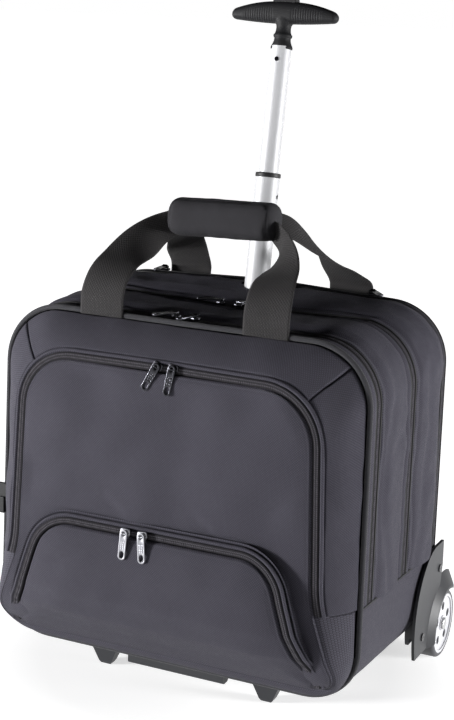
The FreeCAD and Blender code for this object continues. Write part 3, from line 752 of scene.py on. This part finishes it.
def folds(lines):
    """Height of soft folds that fade out at both ends."""
    def rise(x, z, distance):
        total = np.zeros_like(x)
        for x0, z0, x1, z1, deep, wide in lines:
            way_x, way_z = x1 - x0, z1 - z0
            share = np.clip(((x - x0) * way_x + (z - z0) * way_z) / (way_x ** 2 + way_z ** 2), 0, 1)
            across = ((z - z0) * way_x - (x - x0) * way_z) / math.hypot(way_x, way_z)
            fade = np.sqrt(4 * share * (1 - share))
            total += deep * fade * (0.6 * bell(across - 1.5 * wide, wide) - bell(across, 0.7 * wide))
        return total
    return rise


def build_cover():
    inner = rounded(INNER)
    cover = flat_panel("cover_cloth", offset(inner, 0.6), lambda z: hem(z) - 4.2, FABRIC, "cover",
                       61, 6.5, 2.6, fall=34, extra=folds(COVER_FOLDS))
    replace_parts(cover, "front_cover")
    back = flat_panel("cover_lining", offset(inner, -0.4), lambda z: hem(z) - 1.9, LINING, "cover",
                      63, 0.3, 0.2, facing=1)


# ---- lower pocket ----
LOW = mirrored([(181, 53, 10), (152, 112, 140), (128, 190.2, 42)])
LOW_END = 58.0                # height where the lower pocket's zip ends
RIM_Z = (40, 50, 60, 75, 95, 120, 150, 180, 195, 205)
RIM_Y = (-16, -20, -25, -34, -50, -57.5, -57.5, -55.5, -53.6, -52)


def rim(z):
    """Depth of the lower pocket's zip at a height."""
    return np.interp(z, RIM_Z, RIM_Y)


def build_low_pocket():
    line = rounded(LOW)
    face = flat_panel("low_face", line, lambda z: rim(z) - 0.6, FABRIC, "cover", 71, 9.0, 1.6,
                      extra=folds(LOW_FOLDS))
    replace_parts(face, "lower_pocket")

    def at(grow, y_more):
        return raise_line(cut_line(offset(line, grow), LOW_END), lambda z: rim(z) + y_more)
    tape = panel("low_zip", at(0.2, 0.6), at(9.6, 0.6), ZIP, "cover", step=RIB_STEP, rolls=SIDES, stitch=0,
                 extra=ribs(width=9.4, height=0.36), centre=4.7)
    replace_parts(tape, "low_zip_tape")
    panel("low_fold", at(8.6, 0.2), at(13.4, 3.2), FABRIC, "cover", rolls=SIDES, stitch=0,
          extra=lambda s, t, g: 1.3 * np.sin(math.pi * np.clip(t / t.max(), 0, 1)))
    wall_back = raise_line(cut_line(offset(line, 11.0), LOW_END),
                           lambda z: np.maximum(hem(z), rim(z) + 3) - 6.4)
    panel("low_wall", at(12.6, 2.6), wall_back, FABRIC, "cover", rolls=SIDES, stitch=0)


# ---- straps and grip ----
def smooth_line(points, count):
    """Catmull-Rom line through points."""
    p = np.asarray(points, float)
    p = np.vstack([2 * p[0] - p[1], p, 2 * p[-1] - p[-2]])
    spans = len(p) - 3
    out = []
    for at in np.linspace(0, spans, count):
        i = min(int(at), spans - 1)
        f = at - i
        a, b, c, d = p[i:i + 4]
        out.append(0.5 * (2 * b + (c - a) * f + (2 * a - 5 * b + 4 * c - d) * f ** 2
                          + (3 * b - a - 3 * c + d) * f ** 3))
    return np.array(out)


def webbing(name, centres, acrosses, widths, thick=1.7):
    """Woven strap with raised selvedges through its stations."""
    line, across = smooth_line(centres, 90), smooth_line(acrosses, 90)
    wide = smooth_line(np.array(widths, float)[:, None], 90)[:, 0]
    way = np.gradient(line, axis=0)
    way /= np.linalg.norm(way, axis=1, keepdims=True)
    across -= way * (across * way).sum(1, keepdims=True)
    across /= np.linalg.norm(across, axis=1, keepdims=True)
    normal = np.cross(across, way)
    shape = []
    for side in (1, -1):
        for x in np.linspace(-1, 1, 25)[::side]:
            edge = 0.35 * bell(abs(x) - 0.94, 0.035) - 0.25 * bell(abs(x) - 0.87, 0.03)
            swell = thick / 2 * (1 - abs(x) ** 14) ** 0.5 if abs(x) < 1 else 0.05
            shape.append((x / 2, side * (swell + edge)))
    shape = np.array(shape + shape[:1])
    t = shape[None, :, 0] * wide[:, None]
    grid = line[:, None] + across[:, None] * t[..., None] + normal[:, None] * shape[None, :, 1, None]
    s = np.repeat(lengths(line)[:, None], len(shape), 1)
    return grid_object(name, grid, s, t, WEBBING, close=True)


FRONT_STRAP = (               # centre, direction across and width, from the seam up into the grip
    ((94, -3.4, 408), (1, 0, 0), 51), ((94, -2.6, 430), (1, 0, 0), 51), ((93, 5, 447), (1, 0, .03), 50),
    ((91, 18, 459), (1, -.1, .05), 49), ((88, 38, 469), (.95, -.3, .12), 46),
    ((82, 60, 480), (.75, -.42, .45), 41), ((71, 82, 493), (.3, -.45, .85), 35),
    ((56, 92, 502), (.1, -.45, .9), 30))
REAR_STRAP = (
    ((101, 221.4, 415), (1, 0, 0), 52), ((100, 219, 433), (1, 0, 0), 52),
    ((94, 198, 450), (1, -.15, -.1), 49), ((86, 172, 469), (.85, -.4, -.4), 43),
    ((77, 145, 486), (.6, -.58, -.56), 38), ((68, 118, 502), (.4, -.65, -.65), 33),
    ((54, 98, 511), (.25, -.7, -.67), 28))


def build_straps():
    for side, letter in ((-1, "l"), (1, "r")):
        for name, strap_line, anchor in (("front", FRONT_STRAP, 0.42), ("rear", REAR_STRAP, 0.43)):
            centres = [np.array(centre) * (side, 1, 1) for centre, _, _ in strap_line]
            acrosses = [np.array(across) * (1, side, side) for _, across, _ in strap_line]
            widths = [wide for _, _, wide in strap_line]
            strap = webbing(name + "_strap_" + letter, centres, acrosses, widths)
            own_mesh(strap)
            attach(strap, "case")
            if side < 0:
                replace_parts(strap, name + "_straps")


GRIP_HALF, GRIP_END = 62.5, 15.0      # half length, and the length over which each end rounds off


def build_grip():
    """Padded wrap round both handle straps, with rounded ends and a stitched flap."""
    ends = GRIP_END * (1 - np.cos(np.linspace(0, math.pi / 2, 12)))
    flat = GRIP_HALF - GRIP_END
    xs = np.concatenate([-GRIP_HALF + ends, np.linspace(-flat, flat, 44)[1:-1], GRIP_HALF - ends[::-1]])
    deep = np.clip((np.abs(xs) - flat) / GRIP_END, 0, 1)
    shrink = (1 - deep ** 2.7) ** (1 / 2.7)
    shrink[[0, -1]] = 0.04
    turn = np.linspace(0, 2 * math.pi, 97)
    shape = np.stack([np.cos(turn), np.sin(turn)], -1)
    shape *= (np.abs(shape) ** 2.7).sum(1, keepdims=True) ** (-1 / 2.7)
    x, angle = np.meshgrid(xs, turn, indexing="ij")
    size = 21.2 * shrink[:, None] * np.ones_like(angle)
    # a stitched border runs round the front of the wrap, and its overlap ends in a step below
    long, high = GRIP_HALF - 7.0 - np.abs(x), 15.5 - 20.0 * np.abs(angle - math.radians(192)) * 0.62
    border = np.hypot(np.maximum(9 - long, 0), np.maximum(9 - high, 0)) - 9
    size -= 1.7 * bell(border, 1.1) * (shrink[:, None] > 0.6)
    size += 0.9 * np.clip(-border / 14, 0, 1)
    size -= 1.2 * bell(angle - math.radians(268), 0.03)
    spots = np.stack([x, 22 * np.cos(angle), 22 * np.sin(angle)], -1)
    size += 0.5 * ripple(spots, 30, 81)
    size += 0.25 * ripple(spots, 13, 82)
    y = size * shape[None, :, 0] * 1.03
    z = size * shape[None, :, 1] * 0.97
    lean, tilt = math.radians(-6), 0.03
    grid = np.stack([x, 91 + y * math.cos(lean) - z * math.sin(lean),
                     509 + z * math.cos(lean) + y * math.sin(lean) + x * tilt], -1)
    made = grid_object("grip_wrap", grid, x, 21 * angle, WRAP, flip=True, close=True)
    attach(made, "grip")
    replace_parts(made, "carry_grip")


# ---- trolley handle ----
LEAN = math.radians(8.5)
POLE_FOOT = np.array([0, 128.3, 48.0])


def on_pole(points):
    """From (across, behind, up the pole) to the drawing frame."""
    x, deep, high = np.moveaxis(np.asarray(points, float), -1, 0)
    cos, sin = math.cos(LEAN), math.sin(LEAN)
    return POLE_FOOT + np.stack([x, high * sin + deep * cos, high * cos - deep * sin], -1)


def wall(work, a, b):
    """Faces between two rings of vertices."""
    for i in range(len(a)):
        j = (i + 1) % len(a)
        work.faces.new((a[i], a[j], b[j], b[i]))


def skin(work, rings):
    """Closed skin through rings of vertices, with a flat face over the first and the last."""
    for a, b in zip(rings, rings[1:]):
        wall(work, a, b)
    for ring in (rings[0], rings[-1]):
        work.faces.new(ring)


def closed_grid(name, grid, material):
    """Smooth closed object from rings of points."""
    work = bmesh.new()
    skin(work, [[work.verts.new(place(p)) for p in ring] for ring in grid])
    bmesh.ops.recalc_face_normals(work, faces=work.faces)
    return from_bmesh(name, work, material)


def from_bmesh(name, work, material):
    mesh = bpy.data.meshes.new(name)
    work.to_mesh(mesh)
    work.free()
    mesh.polygons.foreach_set("use_smooth", np.ones(len(mesh.polygons), bool))
    mesh.set_sharp_from_angle(angle=math.radians(40))
    mesh.materials.append(material)
    return add(name, mesh)


def apply(made, kind, **settings):
    """Add one modifier and apply it."""
    modifier = made.modifiers.new(kind.lower(), kind)
    for key, value in settings.items():
        setattr(modifier, key, value)
    bpy.context.view_layer.update()
    graph = bpy.context.evaluated_depsgraph_get()
    mesh = bpy.data.meshes.new_from_object(made.evaluated_get(graph))
    made.modifiers.clear()
    made.data = mesh


def crossbar(count=150, around=48):
    """The T-handle's grip: a crescent with ribs on its lower half, either side of the middle."""
    half, round_off = 64.0, 5.6
    xs = half * np.sin(np.linspace(-math.pi / 2, math.pi / 2, count))
    xs = np.unique(np.concatenate([xs[np.abs(xs) > 52], np.linspace(-52, 52, count)]))
    u = np.abs(xs) / half
    tip = np.sqrt(np.clip(1 - np.clip((np.abs(xs) - half + round_off) / round_off, 0, 1) ** 2, 1e-3, 1))
    low, top = 672.8 + 3.4 * u ** 2, 697.6 - 11.2 * u ** 2.3
    middle, high, deep = (low + top) / 2, (top - low) / 2 * tip, (10.8 - 4.0 * u ** 2) * tip
    turn = turns(around)
    cos, sin = np.cos(turn), np.sin(turn)
    power = 2 / 2.5
    ring_y, ring_z = np.sign(cos) * np.abs(cos) ** power, np.sign(sin) * np.abs(sin) ** power
    ribbed_part = np.clip((np.abs(xs) - 10) / 3, 0, 1) * np.clip((47 - np.abs(xs)) / 3, 0, 1)
    groove = 0.7 * ribbed_part[:, None] * (0.5 + 0.5 * np.cos(2 * math.pi * xs / 2.9))[:, None]
    groove = groove * np.clip(0.55 - sin, 0, 1)[None] * np.abs(cos)[None] ** 0.5
    y = ring_y[None] * (deep[:, None] - groove)
    z = middle[:, None] + ring_z[None] * (high[:, None] - 0.4 * groove)
    return on_pole(np.stack([np.repeat(xs[:, None], around, 1), y, z], -1))


NECK = (                      # height up the pole and radius
    (644.8, 11.5), (645, 12.5), (646.4, 12.8), (648, 12.2), (650.5, 10.8), (653.5, 9.6), (656, 9.3),
    (657.4, 9.5), (658.2, 10.4), (659.4, 10.8), (660.8, 10.5), (661.6, 9.4), (664, 8.6), (668, 8.2),
    (671, 8.6), (674, 10.4), (677, 13.4), (680, 15.0))


def turns(count):
    """Angles of count points round a ring."""
    return np.linspace(0, 2 * math.pi, count, endpoint=False)


def build_handle():
    bar = closed_grid("trolley_handle", crossbar(), SOFT)
    turn = turns(40)
    rings = [on_pole(np.stack([r * np.cos(turn), min(r, 10.2) * np.sin(turn), np.full(40, h)], -1))
             for h, r in NECK]
    neck = closed_grid("neck", rings, SOFT)
    corners = rounded([(15, -5.6, 4.5), (15, 5.6, 4.5), (-15, 5.6, 4.5), (-15, -5.6, 4.5)])
    rings = [on_pole(np.column_stack([corners, np.full(len(corners), h)])) for h in (690, 720)]
    well = closed_grid("well", rings, SOFT)
    for operation, other in (("UNION", neck), ("DIFFERENCE", well)):
        apply(bar, "BOOLEAN", operation=operation, solver="EXACT", object=other)
        bpy.data.objects.remove(other)
    bar.data.set_sharp_from_angle(angle=math.radians(50))
    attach(bar, "tube_upper")
    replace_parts(bar, "handle_front", "handle_back")


def build_spring():
    """Return spring under the button. It rides in the handle."""
    cad = frame["nodes"]["button_spring"]
    made = add("return_spring", cad.data.copy())
    made.matrix_world = cad.matrix_world.copy()
    made.data.materials.clear()
    made.data.materials.append(STEEL)
    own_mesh(made)
    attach(made, "tube_upper")
    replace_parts(made, "button_spring")


# ---- zip sliders and pulls ----
def oval(x, y, wide, long, count=20):
    """Loop with straight sides and round ends, along y."""
    return [(x + wide * math.cos(a),
             y + wide * math.sin(a) + math.copysign(max(long - wide, 0), math.sin(a))) for a in turns(count)]


def cut_plate(outer, holes, pits, low, high, deep=0.4):
    """Closed plate between two heights: an outline, holes through it and shallow pits in both faces."""
    work = bmesh.new()

    def loop(points, z):
        return [work.verts.new((x, y, z)) for x, y in points]
    levels = []
    for z, inward in ((high, -1), (low, 1)):
        through = [loop(points, z) for points in [outer] + holes]
        cups = [loop(points, z) for points in pits]
        edges = [work.edges.new((a, b)) for vs in through + cups for a, b in zip(vs, vs[1:] + vs[:1])]
        bmesh.ops.triangle_fill(work, use_beauty=True, edges=edges)
        for cup, points in zip(cups, pits):
            base = loop(points, z + inward * deep)
            wall(work, cup, base)
            work.faces.new(base)
        levels.append(through)
    for a, b in zip(*levels):
        wall(work, a, b)
    bmesh.ops.recalc_face_normals(work, faces=work.faces)
    return work


def arch(work, half, foot, top, radius):
    """Bail over a slider: a round bar along x between two bent feet."""
    line = smooth_line([(-half - 0.6, 0, foot), (-half, 0, foot + 1.4), (-half + 1.0, 0, top), (0, 0, top),
                        (half - 1.0, 0, top), (half, 0, foot + 1.4), (half + 0.6, 0, foot)], 25)
    way = np.gradient(line, axis=0)
    way /= np.linalg.norm(way, axis=1, keepdims=True)
    side = np.cross(way, (0, 1.0, 0))
    turn = turns(10)
    flat = np.array([0, 1.25, 0])
    skin(work, [[work.verts.new(c + radius * (n * math.cos(a) + flat * math.sin(a))) for a in turn]
                for c, n in zip(line, side)])


BAR_UP = 5.2                  # height of the bail's bar over the coil


def build_zip_metal(name, material):
    """Sliders and pulls of one zip, placed from the joints that move them."""
    joints = {joint["name"]: joint for joint in frame["joints"]}
    for side in "lr":
        hinge = joints["%s_pull_%s_swing" % (name, side)]
        nodes = ["%s_%s_%s" % (name, kind, side) for kind in ("pull", "slider")]
        tab, base = [np.array([v.co for v in frame["nodes"][n].data.vertices]) * 1000 for n in nodes]
        bar = np.array(hinge["axis"])
        at = np.array(hinge["pos_m"]) * 1000
        down = square_to(tab.mean(0) - at, bar)
        up = square_to(at - (base.min(0) + base.max(0)) / 2, bar)
        pits = [oval(x, y, 0.62, 0.62, 8) for y in (-8.2, -10.6, -13.0, -15.4) for x in (-2.3, 0, 2.3)]
        outline = oval(0, -11.8, 4.25, 16.2, 36)
        work = cut_plate(outline, [oval(0, -0.2, 2.2, 2.6), oval(0, -22.4, 2.5, 3.9)], pits, -0.8, 0.8)
        put_metal(nodes[0], work, at, bar, down, material, 0.3)
        shield = rounded(mirrored([(5.2, 4.6, 1.6), (5.6, -0.5, 1.5), (3.0, -5.0, 1.6)]))[::4]
        work = cut_plate([tuple(p) for p in shield], [], [], 0.3 - BAR_UP, 2.6 - BAR_UP)
        arch(work, 3.7, 1.4 - BAR_UP, 0.1, 0.85)
        put_metal(nodes[1], work, at, bar, square_to(down - up * (down @ up), bar), material, 0.5)


def square_to(way, axis):
    way = way - axis * (way @ axis)
    return way / np.linalg.norm(way)


def put_metal(node_name, work, at, bar, down, material, edge):
    """Bevel a piece drawn with its bar along x and its pull along -y, and put it in place of its node."""
    up = np.cross(bar, -down)
    made = from_bmesh(node_name.replace("_", "_metal_", 1), work, material)
    apply(made, "BEVEL", width=edge, segments=2, limit_method="ANGLE", angle_limit=math.radians(50))
    if up @ (at - (0, 230.0 - PIPING_Y, 230.0)) < 0:
        bar, up = -bar, -up
    turn = np.eye(4)
    turn[:3, 0], turn[:3, 1], turn[:3, 2], turn[:3, 3] = bar, -down, up, at
    made.data.transform(Matrix(turn))
    made.data.transform(Matrix.Scale(0.001, 4))
    made.data.set_sharp_from_angle(angle=math.radians(40))
    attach(made, body_of(node_name))
    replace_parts(made, node_name)


def body_of(node_name):
    """Name of the body that carries a node."""
    for body, names in frame["record"]["behaviour"]["bodies"].items():
        if node_name in names:
            return body


# ---- carried-over CAD nodes ----
FINISHES = {
    "tube_metal": TUBE, "black_plastic": BLACK, "grey_plastic": GREY, "soft_grip": SOFT, "tyre_rubber": TYRE,
    "hub_metal": HUB, "pull_metal": NICKEL, "spring_steel": STEEL, "lining": LINING, "body_fabric": FABRIC,
    "zip_fabric": ZIP, "webbing": WEBBING, "piping": PIPING,
}


def finish_nodes():
    slots = {part["node"]: part["material_slot"] for part in frame["record"]["subparts"]}
    for name, made in frame["nodes"].items():
        made.data.materials.clear()
        made.data.materials.append(FINISHES[slots[name]])


# ---- camera, floor and light ----
SHADOWED_FLOOR_GLOW = 0.62             # the floor's glow close to the bag, dimmer than the 1.0 further out: a painted contact shadow; the glow keeps the floor white where no lamp reaches it


def camera():
    azimuth, elevation, roll = (math.radians(a) for a in (24.452, 12.819, 2.447))
    distance, target = 1.6877, Vector((0.00577, -0.014, 0.35392))
    back = Vector((math.sin(azimuth) * math.cos(elevation), -math.cos(azimuth) * math.cos(elevation),
                   math.sin(elevation)))
    right = Vector((math.cos(azimuth), math.sin(azimuth), 0))
    up = back.cross(right)
    turned = right * math.cos(roll) + up * math.sin(roll)
    up = up * math.cos(roll) - right * math.sin(roll)
    lens = bpy.data.cameras.new("camera")
    lens.sensor_fit = "VERTICAL"
    lens.sensor_height = 36.0
    lens.lens = 1546.1 * 36 / 720
    made = add("camera", lens)
    spot = target + back * distance
    axes = Matrix((turned, up, back)).transposed().to_4x4()
    made.matrix_world = Matrix.Translation(spot) @ axes
    scene.camera = made


def light(name, spot, aim, size, power):
    lamp = bpy.data.lights.new(name, "AREA")
    lamp.shape = "RECTANGLE"
    lamp.size, lamp.size_y = size
    lamp.energy = power
    made = add(name, lamp)
    made.location = spot
    made.rotation_euler = (Vector(aim) - Vector(spot)).to_track_quat("-Z", "Y").to_euler()


def studio():
    white = (1, 1, 1, 1)
    material, tree, shader = start_material("floor", 0.9, Specular_IOR_Level=0.1, Emission_Color=white)
    tree.links.new(shade((0.60, 0.60, 0.60), 0.01, noise(tree, 2.0)), shader.inputs["Base Color"])
    spot = node(tree, "TexCoord").outputs["Object"]
    away = node(tree, "VectorMath", {0: spot}, operation="LENGTH").outputs[1]
    # painted shadow: the floor glows less within 0.36 m of the middle of the bag
    tree.links.new(ramp(away, 0.20, 0.36, SHADOWED_FLOOR_GLOW, 1.0), shader.inputs["Emission Strength"])
    reach = 90000.0
    corners = np.array([(-reach, -reach, 0), (reach, -reach, 0), (reach, reach, 0), (-reach, reach, 0)])
    floor = mesh_object("floor", corners, np.array([[0, 1, 2, 3]]), corners[:, :2], material)
    world = bpy.data.worlds.new("studio")
    world.use_nodes = True
    tree = world.node_tree
    direction = node(tree, "TexCoord").outputs["Generated"]
    height = node(tree, "SeparateXYZ", {0: direction}).outputs[2]
    tree.links.new(ramp(height, 0.04, 0.24, 1.0, 0.0), tree.nodes["Background"].inputs[1])
    tree.nodes["Background"].inputs[0].default_value = white
    scene.world = world
    light("key", (-2.3, -1.8, 0.45), (-0.15, -0.15, 0.3), (0.5, 0.5), 200)
    light("rim", (2.6, 0.5, 0.42), (0.2, 0.1, 0.25), (0.6, 0.7), 112)
    scene.view_settings.view_transform = "Standard"


finish_nodes()
build_case()
build_base()
build_gusset()
build_big_zip()
build_cover()
build_low_pocket()
build_straps()
build_grip()
build_handle()
build_spring()
for zip_name, finish in (("zip1", NICKEL), ("zip2", NICKEL), ("big", NICKEL), ("low", BRIGHT)):
    build_zip_metal(zip_name, finish)
camera()
studio()

import json
